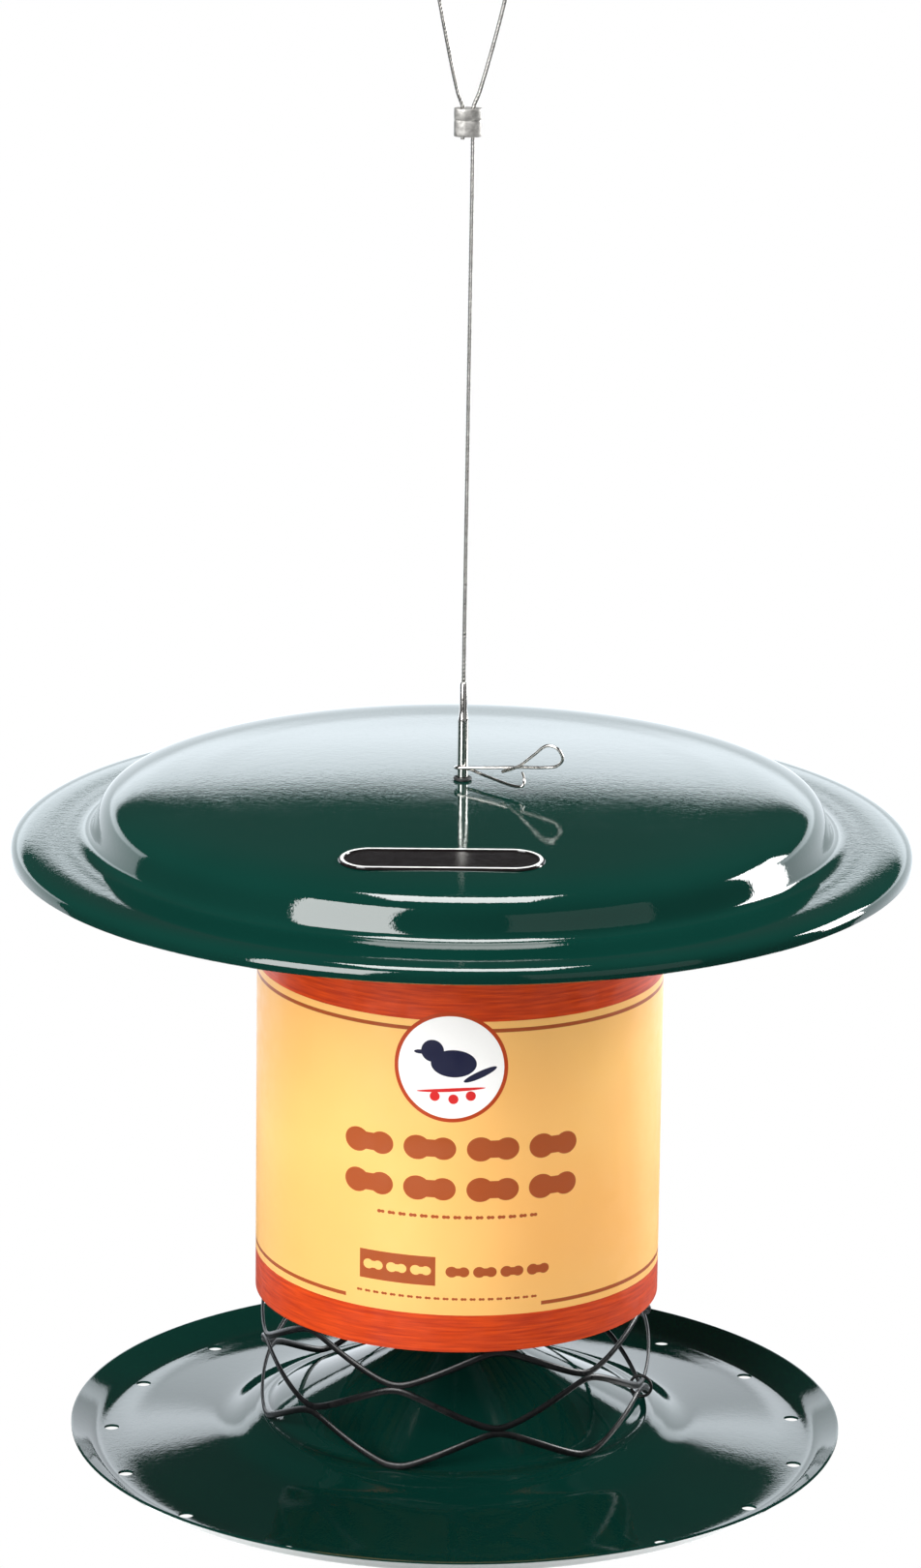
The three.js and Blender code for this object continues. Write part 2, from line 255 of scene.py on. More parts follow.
def ranged(tree, value, low, high, out_low, out_high):
    """A value carried from the range low to high onto another range, and held inside it."""
    limits = {"From Min": low, "From Max": high, "To Min": out_low, "To Max": out_high}
    node = add_node(tree, "MapRange", **limits)
    tree.links.new(value, node.inputs["Value"])
    return node.outputs["Result"]


def mottled(tree, scale, detail, low, high):
    """Cloudy noise that wanders between two values."""
    return ranged(tree, noise(tree, scale, detail), 0.3, 0.7, low, high)


def blended(tree, share, first, second):
    """One colour turning into another by a share from 0 to 1; each is a colour or a socket."""
    node = add_node(tree, "Mix", data_type="RGBA")
    tree.links.new(share, node.inputs["Factor"])
    for socket, colour in ((node.inputs[6], first), (node.inputs[7], second)):
        if isinstance(colour, tuple):
            socket.default_value = (*colour, 1)
        else:
            tree.links.new(colour, socket)
    return node.outputs[2]


def bumped(tree, shader, heights):
    """Adds up bumps on a shader: (height socket, depth in metres) pairs."""
    previous = None
    for height, depth in heights:
        node = add_node(tree, "Bump", Strength=1.0, Distance=depth)
        tree.links.new(height, node.inputs["Height"])
        if previous:
            tree.links.new(previous, node.inputs["Normal"])
        previous = node.outputs["Normal"]
    tree.links.new(previous, shader.inputs["Normal"])


def coated(tree, shader, colour, roughness, heights):
    """Gives a shader its colour, its roughness and its bumps."""
    tree.links.new(colour, shader.inputs["Base Color"])
    tree.links.new(roughness, shader.inputs["Roughness"])
    bumped(tree, shader, heights)


# ---------- finishes ----------
def green_enamel():
    """Baked gloss enamel over spun sheet: deep green, with a fine orange peel."""
    material, tree, shader = new_finish("green_enamel")
    drift = mottled(tree, 9, 3, 0, 1)
    colour = blended(tree, drift, (0.0014, 0.0205, 0.0150), (0.0018, 0.0250, 0.0185))
    wear = ranged(tree, noise(tree, 60, 4), 0.3, 0.75, 0.025, 0.06)
    orange_peel = (noise(tree, 1000, 2), 0.017 * MM)
    ripple = (noise(tree, 260, 1), 0.012 * MM)
    coated(tree, shader, colour, wear, [orange_peel, ripple])
    shader.inputs["IOR"].default_value = 1.5
    return material


def bare_metal(name, colour, rough, grain, depth, dark=0.6):
    """Plain metal with drawn or pressed marks, dull in its hollows."""
    material, tree, shader = new_finish(name)
    shade = tuple(dark * c for c in colour)
    patchy = blended(tree, mottled(tree, 500, 4, 0, 1), shade, colour)
    dulled = mottled(tree, 900, 3, rough * 0.8, rough * 1.3)
    coated(tree, shader, patchy, dulled, [(noise(tree, 1, 3, 0.6, grain), depth)])
    shader.inputs["Metallic"].default_value = 1.0
    return material


def black_coating(name, rough):
    """Soft black dip coating on wire, a little uneven, greyer where it has rubbed."""
    material, tree, shader = new_finish(name)
    rub = ranged(tree, noise(tree, 180, 5), 0.55, 0.8, 0, 1)
    colour = blended(tree, rub, (0.0035, 0.0035, 0.0040), (0.012, 0.0115, 0.0115))
    uneven = mottled(tree, 700, 3, rough * 0.8, rough * 1.3)
    coated(tree, shader, colour, uneven, [(noise(tree, 1500, 3), 0.02 * MM)])
    shader.inputs["Specular IOR Level"].default_value = 0.35
    return material


def plain_plastic(name, colour, rough):
    """One colour, paler where it has worn."""
    material, tree, shader = new_finish(name)
    worn = tuple(min(1, 1.5 * c + 0.004) for c in colour)
    wear = ranged(tree, noise(tree, 220, 4), 0.4, 0.8, 0, 1)
    uneven = mottled(tree, 400, 3, rough * 0.8, rough * 1.2)
    coated(tree, shader, blended(tree, wear, colour, worn), uneven, [(noise(tree, 2500, 2), 0.01 * MM)])
    return material


class Ink:
    """A number that varies over the paper, built up from maths on where a point lies."""

    def __init__(self, tree, socket):
        self.tree = tree
        self.socket = socket

    def calc(self, operation, *others):
        node = add_node(self.tree, "Math", operation=operation)
        self.tree.links.new(self.socket, node.inputs[0])
        for i, other in enumerate(others, 1):
            if isinstance(other, Ink):
                self.tree.links.new(other.socket, node.inputs[i])
            else:
                node.inputs[i].default_value = other
        return Ink(self.tree, node.outputs[0])

    def __add__(self, other):
        return self.calc("ADD", other)

    def __sub__(self, other):
        return self.calc("SUBTRACT", other)

    def __mul__(self, other):
        return self.calc("MULTIPLY", other)

    def either(self, other):
        return self.calc("MAXIMUM", other)

    def both(self, other):
        return self.calc("MINIMUM", other)

    def inverted(self):
        """1 where this is 0, and 0 where it is 1."""
        return self.calc("SUBTRACT", 1).calc("ABSOLUTE")

    def below(self, limit):
        """1 where this is under the limit and 0 over it."""
        return self.calc("LESS_THAN", limit)

    def between(self, low, high):
        return (self - (low + high) / 2).calc("ABSOLUTE").below((high - low) / 2)

    def squared(self):
        return self.calc("MULTIPLY", self)


def disc(x, y, centre, radius, flatten=1.0):
    """1 inside an oval: radius across and radius * flatten high."""
    dx = (x - centre[0]).squared()
    dy = ((y - centre[1]) * (1 / flatten)).squared()
    return (dx + dy).below(radius * radius)


def peanut(x, y, length):
    """1 inside a peanut in its shell, lying along x with its middle at 0, 0."""
    lobe = length * 0.25
    left = disc(x, y, (-lobe, 0), length * 0.26, 0.92)
    right = disc(x, y, (lobe, 0), length * 0.24, 0.92)
    waist = x.between(-lobe, lobe).both(y.between(-length * 0.17, length * 0.17))
    return left.either(right).either(waist)


def peanut_row(x, y, count, pitch, height, length):
    """A row of peanuts, centred, every pitch along x at the given height."""
    span = count * pitch / 2
    cell = (x + span).calc("FLOORED_MODULO", pitch) - pitch / 2
    return peanut(cell, y - height, length).both(x.between(-span, span))


def label_paper():
    """Coated paper, printed: wood-grained bands, rules, a round seal with a bird, and peanuts."""
    material, tree, shader = new_finish("label_paper")
    coordinates = add_node(tree, "TexCoord")
    apart = add_node(tree, "SeparateXYZ")
    tree.links.new(coordinates.outputs["Object"], apart.inputs["Vector"])
    side, out, height = (Ink(tree, apart.outputs[k]) for k in "XYZ")
    # millimetres on the paper: x runs round it from the front, y up from its top edge, a little askew
    x = side.calc("ARCTAN2", out * -1) * (LABEL_RADIUS / MM)
    y = (height - LABEL_HIGH.z) * (1 / MM) + x * 0.012

    cream, amber = (0.88, 0.51, 0.160), (0.84, 0.43, 0.125)
    orange, deep = (0.64, 0.060, 0.004), (0.40, 0.026, 0.002)
    brown = (0.30, 0.040, 0.006)
    colour = blended(tree, mottled(tree, 12, 2, 0, 1), cream, amber)

    grain = add_node(tree, "TexNoise", Scale=1.0, Detail=5.0, Roughness=0.6)
    stretch = add_node(tree, "CombineXYZ")
    tree.links.new((x * 0.05).socket, stretch.inputs[0])
    tree.links.new((y * 0.9).socket, stretch.inputs[1])
    tree.links.new(stretch.outputs[0], grain.inputs["Vector"])
    wood = blended(tree, ranged(tree, grain.outputs["Fac"], 0.35, 0.65, 0, 1), deep, orange)
    bands = y.between(-14.5, 2).either(y.between(-147, -130.5))
    colour = blended(tree, bands.socket, colour, wood)

    lower_gap = x.between(-44, 33).both(y.between(-129, -125)).inverted()
    rules = y.between(-18.8, -17.3).either(y.between(-127.8, -126.3)).both(lower_gap)
    upper_row, lower_row = (peanut_row(x - 1.5, y, 4, 24, level, 20) for level in (-64.5, -80.5))
    title = upper_row.either(lower_row)
    small = peanut_row(x, y, 15, 4.2, -91.5, 3)
    block = x.between(-38, -8).both(y.between(-119, -107.5))
    plate = block.both(peanut_row(x + 23, y, 3, 9.4, -113.2, 8).inverted())
    tail = peanut_row(x - 16, y, 4, 10.4, -113.2, 9)
    dots = peanut_row(x + 4, y, 21, 3.4, -124, 2.3)
    printed = title.either(rules)
    for shape in (small, plate, tail, dots):
        printed = printed.either(shape)
    colour = blended(tree, (printed * 0.93).socket, colour, brown)

    seal = (-3.0, -32.5)
    colour = blended(tree, disc(x, y, seal, 21.5).socket, colour, (0.42, 0.045, 0.006))
    colour = blended(tree, disc(x, y, seal, 20.0).socket, colour, (0.93, 0.92, 0.90))
    body = disc(x, y, (seal[0] + 1, seal[1] + 1.5), 8.6, 0.62)
    head = disc(x, y, (seal[0] - 7, seal[1] + 6.2), 4.3)
    beak = disc(x, y, (seal[0] - 11.6, seal[1] + 5.6), 2.4, 0.34)
    tail_feathers = disc(x, y + (x * -0.45), (seal[0] + 11, seal[1] - 6.2), 6.2, 0.24)
    bird = body.either(head).either(beak).either(tail_feathers)
    colour = blended(tree, bird.socket, colour, (0.010, 0.012, 0.040))
    twig = disc(x, y - x * 0.08, (seal[0], seal[1] - 8.6), 13, 0.055)
    red_parts = twig
    for across, drop in ((-6, 11.5), (1, 12.4), (7.5, 11)):
        red_parts = red_parts.either(disc(x, y, (seal[0] + across, seal[1] - drop), 1.9))
    colour = blended(tree, red_parts.socket, colour, (0.62, 0.020, 0.020))

    waves, fibres = (noise(tree, 35, 2), 0.25 * MM), (noise(tree, 1800, 2), 0.01 * MM)
    coated(tree, shader, colour, mottled(tree, 150, 3, 0.30, 0.42), [waves, fibres])
    shader.inputs["IOR"].default_value = 1.45
    return material


ENAMEL = green_enamel()
CABLE_STEEL = bare_metal("cable_steel", (0.40, 0.39, 0.37), 0.32, (2000, 2000, 400), 0.01 * MM)
ROD_STEEL = bare_metal("rod_steel", (0.66, 0.645, 0.62), 0.16, (3000, 3000, 60), 0.006 * MM, 0.8)
FIXING_STEEL = bare_metal("fixing_steel", (0.55, 0.55, 0.54), 0.3, (900, 900, 900), 0.02 * MM)
CLIP_STEEL = bare_metal("clip_steel", (0.62, 0.60, 0.57), 0.2, (2500, 2500, 2500), 0.006 * MM)
SLEEVE_METAL = bare_metal("sleeve_aluminium", (0.50, 0.49, 0.47), 0.55, (500, 500, 900), 0.05 * MM)
MAGNET_NICKEL = bare_metal("magnet_nickel", (0.62, 0.59, 0.53), 0.14, (300, 300, 300), 0.01 * MM, 0.85)
MESH_COATING = black_coating("black_coated_mesh", 0.32)
TIE_COATING = black_coating("black_tie_wire", 0.4)
BADGE_BLACK = plain_plastic("badge_black", (0.004, 0.003, 0.003), 0.12)
BADGE_PALE = plain_plastic("badge_pale_line", (0.62, 0.62, 0.60), 0.3)
GROMMET_RUBBER = plain_plastic("grommet_rubber", (0.012, 0.012, 0.012), 0.6)
PAPER = label_paper()


# ---------- cable and sleeve ----------
def add_cable():
    """Twisted steel cable: out of the rod, up through the sleeve, round the loop and back into it."""
    rod_top = ROD_HIGH.z / MM
    top, foot = SLEEVE_HIGH.z / MM, SLEEVE_LOW.z / MM
    points = [
        (0, rod_top - 11.5), (0, rod_top + 10), (0.45, foot - 104.6), (0.9, foot - 12),
        (0.9, foot), (0.9, top), (3.1, top + 6), (12, top + 40), (15, top + 58), (12, top + 75),
        (0, 0.8), (-12, top + 75), (-15, top + 58), (-12, top + 40), (-4.9, top + 6),
        (-2.9, top), (-2.9, foot), (-2.9, foot - 1.2),
    ]
    route = smooth_route([(x * MM, 0, z * MM) for x, z in points], 0.7 * MM)
    strands = section("strand_section", 2 * CABLE_RADIUS, 2 * CABLE_RADIUS, 36, lobes=6, lobe_depth=0.15)
    lay = 9 * MM
    cable = drawn_bar("cable", [route], strands, CABLE_STEEL, turn_per_metre=2 * math.pi / lay)
    hold(cable, "hanger", "cable_steel", "hanging_cable")
    return cable, route


def add_sleeve():
    """An oval aluminium sleeve, squeezed on flat and nicked once round by the crimping dies."""
    middle = (SLEEVE_LOW.x + SLEEVE_HIGH.x) / 2
    half_width = (SLEEVE_HIGH.x - SLEEVE_LOW.x) / 2
    half_depth = SLEEVE_HIGH.y
    height = SLEEVE_HIGH.z - SLEEVE_LOW.z
    # each level's share of the height, and how much of the full depth it keeps
    levels = [(0, 0.92), (0.03, 0.98), (0.10, 1), (0.30, 0.97), (0.50, 0.97), (0.54, 0.93), (0.57, 0.86),
              (0.60, 0.86), (0.63, 0.93), (0.67, 0.98), (0.90, 1), (0.97, 0.98), (1, 0.92)]
    bm = bmesh.new()
    rings = []
    for share, depth in levels:
        width = 1 - (1 - depth) * 0.12
        made = bmesh.ops.create_circle(bm, segments=40, radius=1)["verts"]
        for v in made:
            lean = abs(v.co.x) ** 1.4 * math.copysign(1, v.co.x)
            waist = 1 - 0.05 * max(0, 1 - abs(v.co.x) * 1.8)
            v.co.x = middle + half_width * width * (0.35 * lean + 0.65 * v.co.x)
            v.co.y *= half_depth * depth * waist
            v.co.z = SLEEVE_LOW.z + height * share
        rings.append({e for v in made for e in v.link_edges})
    for lower, upper in zip(rings, rings[1:]):
        bmesh.ops.bridge_loops(bm, edges=list(lower | upper))
    for ring in (rings[0], rings[-1]):
        face = bmesh.ops.contextual_create(bm, geom=list(ring))["faces"]
        bmesh.ops.inset_region(bm, faces=face, thickness=0.5 * MM, depth=-0.15 * MM)
    bmesh.ops.recalc_face_normals(bm, faces=bm.faces)
    sleeve = finished("crimp_sleeve", bm, SLEEVE_METAL, 40)
    hold(sleeve, "hanger", "sleeve_aluminium", "crimp_ferrule")
    return sleeve


# ---------- rod and fixings ----------
def add_rod():
    """Polished rod with its top swaged down onto the cable and its foot threaded."""
    radius = ROD_HIGH.x
    top, foot = ROD_HIGH.z, ROD_LOW.z
    outline = [(0.0, foot), (radius - 0.4 * MM, foot)]
    pitch, thread = 0.7 * MM, 22 * MM
    for i in range(int(thread / pitch)):
        z = foot + (i + 0.5) * pitch
        outline += [(radius - 0.05 * MM, z), (radius - 0.35 * MM, z + pitch / 2)]
    outline += [(radius, foot + thread + 1 * MM), (radius, top - 15 * MM)]
    neck = 1.5 * MM
    shoulder = [(radius, top - 14.5 * MM), (1.72 * MM, top - 12.4 * MM), (neck, top - 10.5 * MM)]
    outline += smooth_line(shoulder, 0.6 * MM)
    outline += [(neck, top - 0.5 * MM), (1.35 * MM, top - 0.1 * MM), (1.1 * MM, top), (0.0, top)]
    rod = finished("hanger_rod_body", spun(outline, 32, closed=False), ROD_STEEL, 50)
    hold(rod, "hanger", "rod_steel", "hanger_rod")


def add_washer(node):
    low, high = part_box(node)
    edge = 0.2 * MM
    outline = [(ROD_HOLE, low.z), (high.x - edge, low.z), (high.x, low.z + edge)]
    outline += [(high.x, high.z - edge), (high.x - edge, high.z), (ROD_HOLE, high.z)]
    hold(finished(node + "_ring", spun(outline, 48), FIXING_STEEL), "hanger", "fixing_steel", node)


def add_nut(node):
    """A hexagon nut, its end edges rounded and each end sunk a little round the rod."""
    low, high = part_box(node)
    corner = high.x
    bm = bmesh.new()
    bmesh.ops.create_cone(
        bm, segments=6, radius1=corner, radius2=corner, depth=high.z - low.z, cap_ends=True,
        matrix=Matrix.Translation((0, 0, (low.z + high.z) / 2)),
    )
    rims = [e for e in bm.edges if abs(e.verts[0].co.z - e.verts[1].co.z) <= 1 * MM]
    bmesh.ops.bevel(bm, geom=rims, offset=0.35 * MM, segments=2, profile=0.5, affect="EDGES", material=-1)
    ends = [f for f in bm.faces if abs(f.normal.z) > 0.99]
    bmesh.ops.inset_region(bm, faces=ends, thickness=1.1 * MM)
    ends = [f for f in bm.faces if abs(f.normal.z) > 0.99 and len(f.edges) == 6]
    bmesh.ops.inset_region(bm, faces=ends, thickness=0.3 * MM, depth=-0.3 * MM)
    hold(finished(node + "_hexagon", bm, FIXING_STEEL, 25), "hanger", "fixing_steel", node)


# ---------- roof ----------
CROWN_FLAT = 105 * MM  # the nearly flat middle of the crown ends here
CROWN_FALL = 2.1 * MM  # from the apex out to there
WALL_INSET = 33.3 * MM  # from the roof's edge in to its wall
LIP_HEIGHT = 6.4 * MM


def crown_height(r):
    """The crown's height at a radius: almost flat, then falling to the shoulder."""
    return APEX - CROWN_FALL * (r / CROWN_FLAT) ** 2.2


def add_roof():
    """One spun sheet: flat crown, round shoulder, short wall, wide brim and turned-down lip."""
    wall = ROOF_RADIUS - WALL_INSET
    brim = BRIM_LOW.z + LIP_HEIGHT
    shoulder = [(-17, 3.3), (-9, 4.9), (-3.6, 7.3), (-0.7, 10.6), (0.7, 14)]
    wall_foot = [(1.9, 4.4), (3.2, 1.9), (5.6, 0.55)]
    brim_and_lip = [(21, 0.35), (10, 0.42), (4.5, 0), (1.4, -1.2), (0, -3.4)]
    line = [(r * MM, crown_height(r * MM)) for r in (3.1, 15, 30, 45, 60, 75, 90, 105)]
    line += [(wall + out * MM, APEX - fall * MM) for out, fall in shoulder]
    line += [(wall + out * MM, brim + rise * MM) for out, rise in wall_foot]
    line += [(ROOF_RADIUS - inward * MM, brim + rise * MM) for inward, rise in brim_and_lip]
    line.append((ROOF_RADIUS, BRIM_LOW.z + 0.4 * MM))
    bm = spun(sheet_outline(smooth_line(line, 1.6 * MM), SHEET))
    hold(finished("roof_shell", bm, ENAMEL), "roof_shell", "green_enamel", "roof_crown", "roof_brim")


def add_grommet():
    """A rubber bush through the roof's hole, with a wide lip below and a narrow one above."""
    low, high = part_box("roof_grommet")
    bore = 2.4 * MM
    outline = [(bore, low.z + 0.3 * MM), (bore + 0.3 * MM, low.z), (high.x - 0.4 * MM, low.z)]
    outline += [(high.x, low.z + 0.4 * MM), (high.x, low.z + 0.8 * MM), (bore + 0.4 * MM, low.z + 0.9 * MM)]
    upper_lip = [(0.4, 0.9), (1.1, 0.8), (1.1, 0.3), (0.8, 0), (0, 0)]
    outline += [(bore + out * MM, high.z - fall * MM) for out, fall in upper_lip]
    hold(finished("roof_bush", spun(outline, 40), GROMMET_RUBBER), "slider", "grommet_rubber", "roof_grommet")


def add_badge():
    """An oblong black plate that follows the crown, with a raised pale line inside its edge."""
    low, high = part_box("roof_badge")
    centre = (low + high) / 2
    half_height = (high.y - low.y) / 2
    half_run = (high.x - low.x) / 2 - half_height
    bm = bmesh.new()
    for v in bmesh.ops.create_circle(bm, segments=64, radius=half_height)["verts"]:
        v.co.x += math.copysign(half_run, v.co.x)
    edge = set(bm.verts)
    plate = bmesh.ops.contextual_create(bm, geom=bm.edges[:])["faces"]
    bm.normal_update()
    if plate[0].normal.z < 0:
        bmesh.ops.reverse_faces(bm, faces=plate)
    rings = []
    for width in (0.3, 0.4, 1.4, 1.8, 2.4, 2.4):
        inset = bmesh.ops.inset_region(
            bm, faces=plate, thickness=width * MM, use_boundary=True, use_even_offset=True,
        )
        rings.append(inset["faces"])
    line = rings[2]
    bmesh.ops.inset_region(bm, faces=line, thickness=0.15 * MM)
    raised = {v for f in line for v in f.verts}
    for f in line:
        f.material_index = 1
    for v in bm.verts:
        v.co.x += centre.x
        v.co.y += centre.y
        lift = 0 if v in edge else 0.8 * MM if v in raised else 0.35 * MM
        v.co.z = crown_height(math.hypot(v.co.x, v.co.y)) + 0.05 * MM + lift
    badge = finished("roof_badge_plate", bm, BADGE_BLACK)
    badge.data.materials.append(BADGE_PALE)
    hold(badge, "roof_shell", "badge_plastic", "roof_badge")


def add_magnet(node, body):
    """A plated disc magnet with rounded edges."""
    low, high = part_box(node)
    middle = (low + high) / 2
    bm = bmesh.new()
    radius = (high.x - low.x) / 2
    bmesh.ops.create_cone(
        bm, segments=48, radius1=radius, radius2=radius, depth=high.z - low.z, cap_ends=True,
        matrix=Matrix.Translation(middle),
    )
    rims = [e for e in bm.edges if abs(e.verts[0].co.z - e.verts[1].co.z) < 0.01 * MM]
    bmesh.ops.bevel(bm, geom=rims, offset=0.3 * MM, segments=3, profile=0.5, affect="EDGES", material=-1)
    hold(finished(node + "_disc", bm, MAGNET_NICKEL), body, "magnet_nickel", node)


# ---------- clip ----------
def add_clip():
    """Spring wire bent once round the rod; its upper arm ends in a bow, its lower arm in a hook."""
    coil = 2.85  # radius; the wire's points are in millimetres, from the coil's middle
    points = [
        (15, -9.6, 0.6), (20.9, -13.6, 3.9), (26, -16.3, 8.6), (31.6, -19, 13.6), (35.6, -20.6, 12.9),
        (37.6, -20.6, 9), (35.4, -19.2, 5.8), (31, -17.1, 4.6), (21, -11.9, 3.1), (9, -6.4, 1.2),
        (0.6, -coil - 0.3, 0.2), (-0.75 * coil, -0.7 * coil, -0.2), (-coil, 0, -0.5),
        (-0.7 * coil, 0.7 * coil, -0.9), (0.3, coil, -1.2), (coil, 1, -1.5), (9, -7, -1.9),
        (20.6, -19.6, -2.3), (22.7, -20.9, -1.6), (23.2, -19.6, 0.2), (22.6, -14.6, 1.5),
    ]
    level = APEX + 5.4 * MM
    route = smooth_route([(x * MM, y * MM, level + z * MM) for x, y, z in points], 0.6 * MM)
    wire = section("clip_section", 2 * CLIP_WIRE, 2 * CLIP_WIRE, 14)
    clip = drawn_bar("clip_wire", [route], wire, CLIP_STEEL)
    hold(clip, "clip", "clip_steel", "retaining_clip")


# ---------- lattice ----------
LATTICE_ROWS = 15
LATTICE_COLUMNS = 6
LATTICE_PHASE = math.radians(12.5)
STRAND_HEIGHT = 2.7 * MM
BOND_OVERLAP = 0.5 * MM


def add_lattice():
    """Expanded mesh rolled into a cylinder: waves of coated strand that meet in long bonds."""
    draw = random.Random(4)
    half_pitch = (MESH_HIGH.z - MESH_LOW.z) / LATTICE_ROWS
    swing = (half_pitch - STRAND_HEIGHT + BOND_OVERLAP) / 2
    lowest, highest = MESH_LOW.z + STRAND_HEIGHT / 2, MESH_HIGH.z - STRAND_HEIGHT / 2
    middle_radius = MESH_RADIUS - 0.65 * MM
    pointed = 0.90
    routes = []
    steps = 216
    for row in range(LATTICE_ROWS):
        drift = [draw.uniform(0, 2 * math.pi) for _ in range(3)]
        route = []
        for i in range(steps):
            angle = 2 * math.pi * i / steps
            wave = LATTICE_COLUMNS * (angle - LATTICE_PHASE) - math.pi * (row % 2)
            level = -math.asin(pointed * -math.cos(wave)) / math.asin(pointed)
            sway = sum(math.sin((k + 2) * angle + d) for k, d in enumerate(drift)) / 3
            z = MESH_LOW.z + half_pitch * (row + 0.5) + swing * level + 0.12 * MM * sway
            z = min(max(z, lowest), highest)
            r = middle_radius - 0.25 * MM * abs(sway)
            route.append(Vector((r * math.sin(angle), -r * math.cos(angle), z)))
        routes.append(route)
    strand = section("strand_oval", 1.25 * MM, STRAND_HEIGHT, 12)
    lattice = drawn_bar("lattice_strands", routes, strand, MESH_COATING, closed=True, upright=True)
    hold(lattice, "lattice", "black_coated_mesh", "lattice_cylinder")


def add_seam_tie(node):
    """A ring of tie wire bent nearly shut round a bond."""
    low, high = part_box(node)
    centre = (low + high) / 2
    angle = math.atan2(centre.x, -centre.y)
    outward = Vector((math.sin(angle), -math.cos(angle), 0))
    middle = outward * (MESH_RADIUS - 0.6 * MM) + Vector((0, 0, centre.z))
    ring = (high.z - low.z) / 2 - CLIP_WIRE
    route = []
    start, sweep, steps = 20, 320, 48
    for i in range(steps + 1):
        a = math.radians(start + sweep * i / steps)
        route.append(middle - outward * (ring * math.cos(a)) + Vector((0, 0, ring * math.sin(a))))
    wire = section("tie_section", 2 * CLIP_WIRE, 2 * CLIP_WIRE, 10)
    tie = drawn_bar(node + "_wire", [route], wire, TIE_COATING)
    hold(tie, "lattice", "black_tie_wire", node)


def add_label():
    """The printed paper sleeve round the lattice; its print meets in a step at the back."""
    inner = LABEL_RADIUS - PAPER_THICKNESS
    count = 36
    levels = [LABEL_LOW.z + (LABEL_HIGH.z - LABEL_LOW.z) * i / count for i in range(count + 1)]
    outline = [(LABEL_RADIUS, z) for z in levels] + [(inner, z) for z in reversed(levels)]
    bm = spun(outline, 144)
    hold(finished("label_sleeve", bm, PAPER, 60), "lattice", "printed_paper", "label_wrap")


# ---------- tray ----------
HUB_RISE = 32 * MM  # from the ledge up to the pad that the rod's nuts clamp
LEDGE_HEIGHT = 7.4 * MM
FLOOR_FALL = 5.4 * MM  # from the ledge's foot out to the drain holes
DRAIN_COUNT = 17
DRAIN_CIRCLE = 134 * MM
DRAIN_RADIUS = 2.9 * MM
DRAIN_PHASE = math.radians(14.5)


def add_tray():
    """One spun sheet: a cone with a flat pad, a ledge, a floor that falls to the drains, a rim."""
    pad = TRAY_HIGH.z
    shelf = pad - HUB_RISE
    foot = shelf - LEDGE_HEIGHT
    floor = foot - FLOOR_FALL
    rim = TRAY_HIGH.x - 0.86 * MM
    edge = MESH_RADIUS + 2.8 * MM
    hub_top = [(5, 0), (7.4, 0.2), (10, 1.2)]
    hub_foot = [(12, 5), (6.5, 2.2), (3, 0)]
    ledge = [(-2.6, 0.1), (-0.6, 0.9), (3, 2.5)]
    ledge_foot = [(9.5, 1.4), (14, -0.2)]
    floor_and_rim = [(26, 0.9), (19, 0.2), (12, 0), (9.8, 0.15), (8, 1.05), (4, 4.05), (0, 7)]
    line = [(ROD_HOLE, pad)]
    line += [(r * MM, pad - fall * MM) for r, fall in hub_top]
    line += [(MESH_RADIUS - inward * MM, shelf + rise * MM) for inward, rise in hub_foot]
    line += [(edge + out * MM, shelf - fall * MM) for out, fall in ledge]
    line += [(edge + out * MM, foot + rise * MM) for out, rise in ledge_foot]
    line += [(rim - inward * MM, floor + rise * MM) for inward, rise in floor_and_rim]
    bm = spun(sheet_outline(smooth_line(line, 1.6 * MM), SHEET), 168)
    tray = finished("tray_dish", bm, ENAMEL)
    cutters = bmesh.new()
    for i in range(DRAIN_COUNT):
        a = DRAIN_PHASE + 2 * math.pi * i / DRAIN_COUNT
        at = Vector((DRAIN_CIRCLE * math.sin(a), -DRAIN_CIRCLE * math.cos(a), floor))
        bmesh.ops.create_cone(
            cutters, segments=28, radius1=DRAIN_RADIUS, radius2=DRAIN_RADIUS, depth=6 * MM, cap_ends=True,
            matrix=Matrix.Translation(at),
        )
    punch = finished("drain_punch", cutters, ENAMEL)
    holes = tray.modifiers.new("drain_holes", "BOOLEAN")
    holes.object = punch
    holes.solver = "EXACT"
    depsgraph = bpy.context.evaluated_depsgraph_get()
    cut = bpy.data.meshes.new_from_object(tray.evaluated_get(depsgraph))
    tray.modifiers.clear()
    tray.data = cut
    bpy.data.objects.remove(punch)
    smooth_by_angle(cut, 35)
    hold(tray, "hanger", "green_enamel", "tray")


# ---------- floor, backdrop and light ----------
STUDIO_CENTRE = Vector((0, 0, -0.35))


def add_soft_box(name, azimuth, elevation, wide, high, radiance, distance=3.0):
    """A flat soft box aimed at the feeder, its angles in degrees. Azimuth 0 is the front, 90 is +X."""
    a, e = math.radians(azimuth), math.radians(elevation)
    towards = Vector((math.sin(a) * math.cos(e), -math.cos(a) * math.cos(e), math.sin(e)))
    light = bpy.data.lights.new(name, "AREA")
    light.shape = "RECTANGLE"
    light.size = 2 * distance * math.tan(math.radians(wide / 2))
    light.size_y = 2 * distance * math.tan(math.radians(high / 2))
    light.energy = radiance * math.pi * light.size * light.size_y
    box = bpy.data.objects.new(name, light)
    facing = towards.to_track_quat("Z", "Y").to_matrix().to_4x4()
    box.matrix_world = Matrix.Translation(STUDIO_CENTRE + towards * distance) @ facing
    box.visible_camera = False
    bpy.context.scene.collection.objects.link(box)


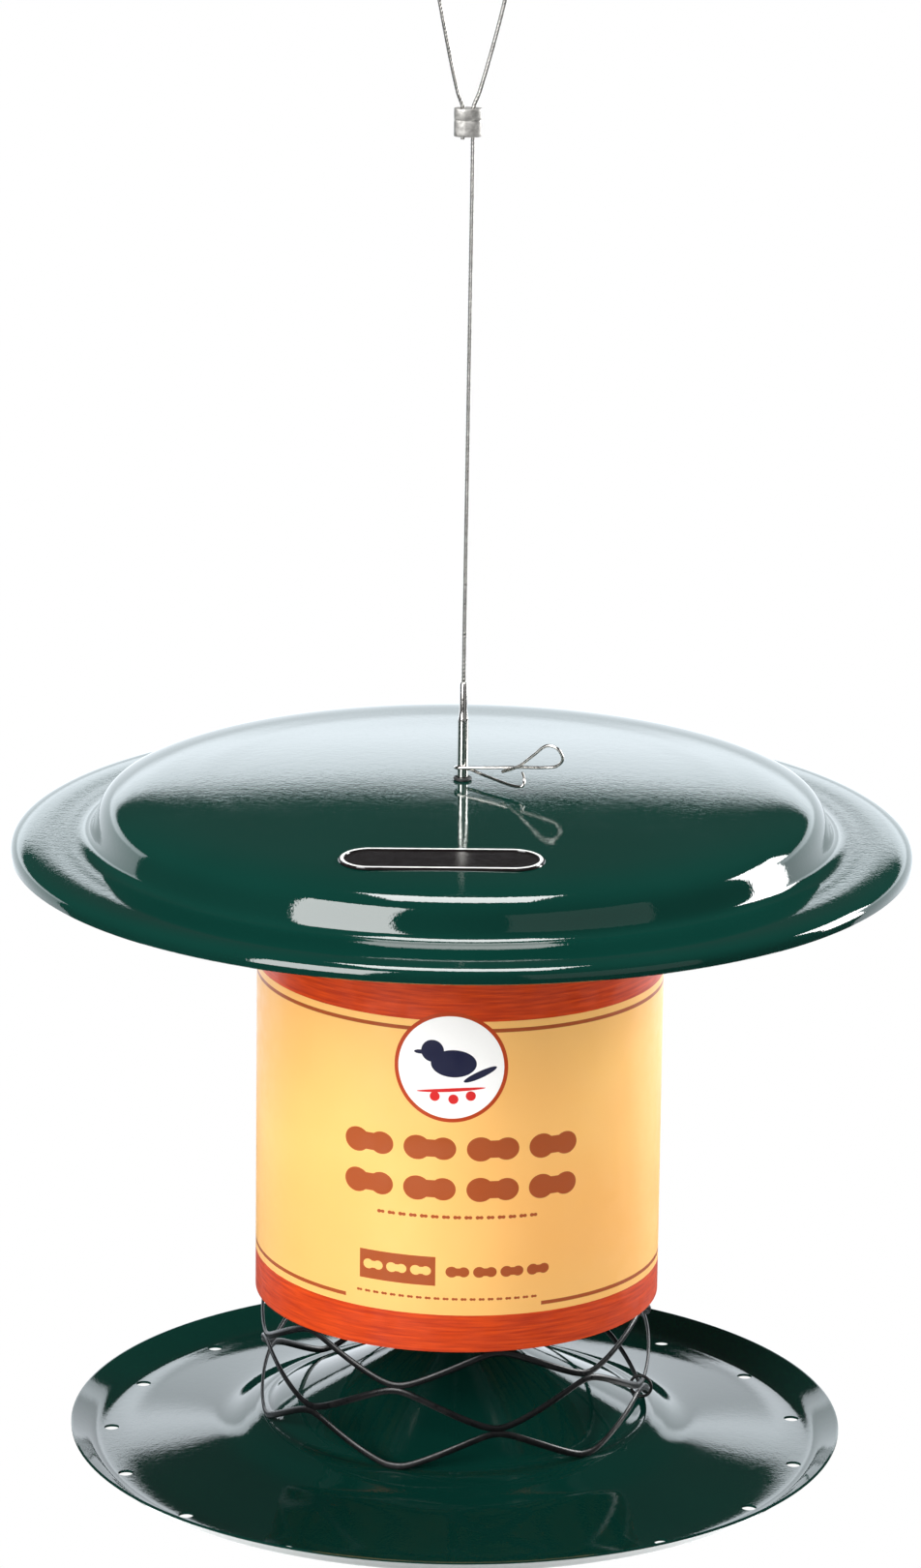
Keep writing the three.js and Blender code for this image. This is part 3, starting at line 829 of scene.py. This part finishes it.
def add_backdrop():
    """A bright curved sheet behind the feeder; the camera looks past it to white."""
    radius, top, foot = 2.0, 0.235, -1.1
    start = math.radians(25)
    bm = bmesh.new()
    side = (radius * math.cos(start), radius * math.sin(start))
    verts = [bm.verts.new((*side, z)) for z in (foot, top)]
    edge = bm.edges.new(verts)
    bmesh.ops.spin(
        bm, geom=verts + [edge], cent=(0, 0, 0), axis=(0, 0, 1), dvec=(0, 0, 0),
        angle=math.radians(130), steps=48, use_merge=False, use_duplicate=False,
    )
    material = bpy.data.materials.new("backdrop_glow")
    material.use_nodes = True
    tree = material.node_tree
    tree.nodes.clear()
    glow = add_node(tree, "Emission", Color=(0.88, 0.94, 1.0, 1.0))
    output = add_node(tree, "OutputMaterial")
    apart = add_node(tree, "SeparateXYZ")
    tree.links.new(placed(tree), apart.inputs["Vector"])
    rise = ranged(tree, apart.outputs["Z"], -0.04, 0.05, 0, 1.4)
    fall = ranged(tree, apart.outputs["Z"], 0.09, 0.23, 1.8, 1.1)
    total = add_node(tree, "Math", operation="ADD")
    tree.links.new(rise, total.inputs[0])
    tree.links.new(fall, total.inputs[1])
    tree.links.new(total.outputs[0], glow.inputs["Strength"])
    tree.links.new(glow.outputs[0], output.inputs["Surface"])
    backdrop = finished("backdrop", bm, material)
    backdrop.visible_camera = False


def add_floor():
    """A pale round floor, well below the hanging feeder."""
    bm = bmesh.new()
    under = Matrix.Translation((0, 0, -1.12))
    bmesh.ops.create_circle(bm, cap_ends=True, segments=96, radius=1.1, matrix=under)
    floor = finished("floor", bm, plain_plastic("pale_floor", (0.78, 0.78, 0.77), 0.7))


def add_room():
    """White to the eye, and dim as a light of its own."""
    world = bpy.data.worlds.new("studio")
    bpy.context.scene.world = world
    world.use_nodes = True
    tree = world.node_tree
    tree.nodes.clear()
    seen = add_node(tree, "Background", Color=(1.0, 1.0, 1.0, 1.0), Strength=1.0)
    dim = add_node(tree, "Background", Color=(1.0, 1.0, 1.0, 1.0), Strength=0.05)
    ray = add_node(tree, "LightPath")
    mix = add_node(tree, "MixShader")
    output = add_node(tree, "OutputWorld")
    tree.links.new(ray.outputs["Is Camera Ray"], mix.inputs[0])
    tree.links.new(dim.outputs[0], mix.inputs[1])
    tree.links.new(seen.outputs[0], mix.inputs[2])
    tree.links.new(mix.outputs[0], output.inputs["Surface"])


def add_studio():
    add_room()
    add_floor()
    add_backdrop()
    add_soft_box("left_box", azimuth=-37, elevation=22, wide=30, high=44, radiance=12.5)
    add_soft_box("right_box", azimuth=112, elevation=13, wide=26, high=32, radiance=24)
    add_soft_box("top_box", azimuth=0, elevation=88, wide=28, high=28, radiance=17)
    add_soft_box("front_card", azimuth=38, elevation=10, wide=44, high=40, radiance=0.4)


add_camera()
cable, cable_route = add_cable()
sleeve = add_sleeve()
cable_length = sum((b - a).length for a, b in zip(cable_route, cable_route[1:]))
add_rod()
for name in ("washer_upper", "washer_lower"):
    add_washer(name)
for name in ("nut_upper", "nut_lower"):
    add_nut(name)
add_roof()
add_grommet()
add_badge()
for number in (1, 2, 3):
    add_magnet(f"roof_magnet_{number}", "roof_shell")
    add_magnet(f"tray_magnet_{number}", "hanger")
add_clip()
add_lattice()
for name in ("seam_tie_1", "seam_tie_2"):
    add_seam_tie(name)
add_label()
add_tray()
add_studio()
